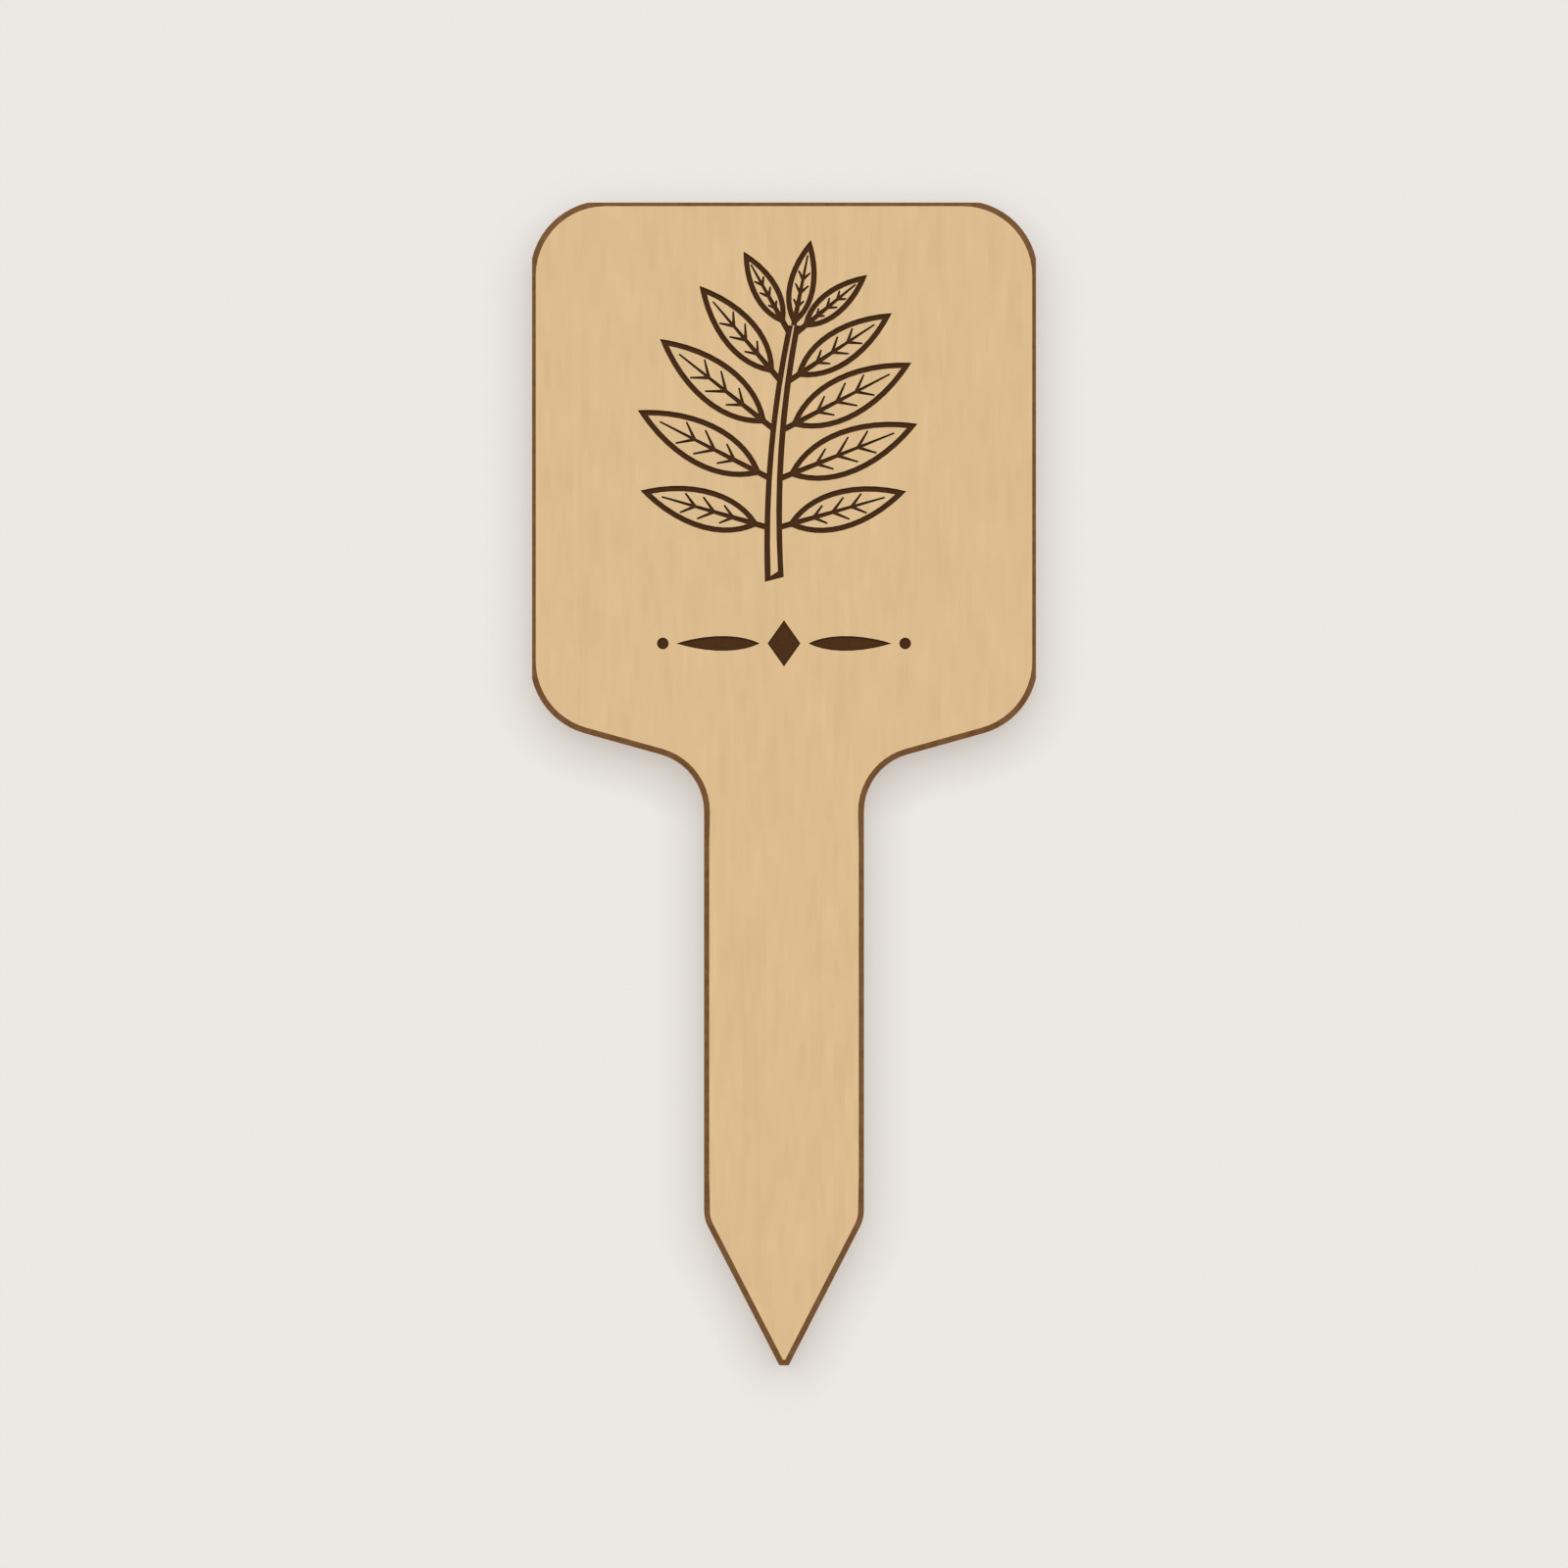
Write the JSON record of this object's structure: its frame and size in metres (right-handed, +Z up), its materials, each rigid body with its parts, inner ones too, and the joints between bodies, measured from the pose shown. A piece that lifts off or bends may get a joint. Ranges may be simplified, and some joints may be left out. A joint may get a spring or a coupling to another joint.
{
  "type": "plant label stake",
  "caption": "Flat plywood plant label stake with a broad rounded head, sloping shoulders and a pointed stem to push into soil, engraved with a leafy sprig above a divider.",
  "frame": {"origin": "middle of the stem's section at the soil line, 40 mm above the tip", "axes": "+Z up the stake towards the head, +Y out of the rear face, so that the engraved face looks towards -Y"},
  "size_m": [0.052, 0.003, 0.12],
  "materials": {
    "front_face_wood": "sanded pale veneer, grain up the stake, with a burnt brown rim and dark engraved lines",
    "core_wood": "laser-cut edge, burnt brown, grain across the stake",
    "rear_face_wood": "sanded pale veneer, grain up the stake, with a burnt brown rim",
    "glue": "cured resin film, seen only as a dark line along the edge"
  },
  "bodies": {
    "root": {"front_veneer": "front_face_wood", "front_glue_line": "glue", "core_veneer": "core_wood", "rear_glue_line": "glue", "rear_veneer": "rear_face_wood"}
  },
  "joints": []
}
